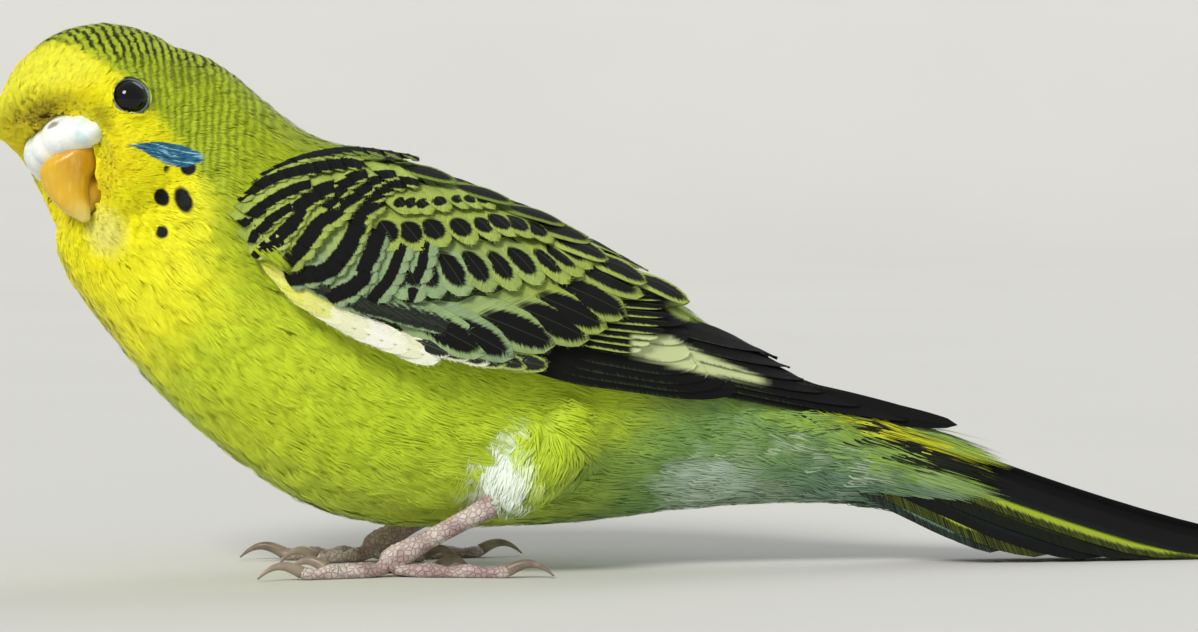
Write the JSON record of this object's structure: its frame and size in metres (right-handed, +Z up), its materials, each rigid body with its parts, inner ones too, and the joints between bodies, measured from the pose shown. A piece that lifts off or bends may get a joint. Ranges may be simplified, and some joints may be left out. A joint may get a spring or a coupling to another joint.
{
  "type": "budgerigar",
  "caption": "Life-size standing budgerigar in light green plumage, head turned to its left, wings folded, long tail laid back.",
  "frame": {"origin": "middle of the bounding box, on the floor plane under the feet", "axes": "+Z up; the bird faces -X and its tail runs to +X; its left side is at -Y"},
  "size_m": [0.1784, 0.0444, 0.0748],
  "materials": {
    "head_feathers": "soft matt plumage",
    "body_feathers": "soft matt plumage",
    "thigh_feathers": "downy matt plumage",
    "wing_feathers": "smooth matt flight feathers",
    "tail_feathers": "smooth matt flight feathers",
    "cere": "smooth waxy skin",
    "bill": "satin horn",
    "eye": "wet gloss",
    "foot_skin": "dry scaly skin",
    "claw": "satin horn"
  },
  "bodies": {
    "root": {"head": "head_feathers", "neck": "body_feathers", "torso": "body_feathers", "cere": "cere", "bill_upper": "bill", "bill_lower": "bill", "tail": "tail_feathers", "rump": "body_feathers", "eye_left": "eye", "wing_left": "wing_feathers", "thigh_left": "thigh_feathers", "shank_left": "foot_skin", "toe_front_outer_left": "foot_skin", "claw_front_outer_left": "claw", "toe_front_inner_left": "foot_skin", "claw_front_inner_left": "claw", "toe_back_outer_left": "foot_skin", "claw_back_outer_left": "claw", "toe_back_inner_left": "foot_skin", "claw_back_inner_left": "claw", "eye_right": "eye", "wing_right": "wing_feathers", "thigh_right": "thigh_feathers", "shank_right": "foot_skin", "toe_front_outer_right": "foot_skin", "claw_front_outer_right": "claw", "toe_front_inner_right": "foot_skin", "claw_front_inner_right": "claw", "toe_back_outer_right": "foot_skin", "claw_back_outer_right": "claw", "toe_back_inner_right": "foot_skin", "claw_back_inner_right": "claw"}
  },
  "joints": []
}
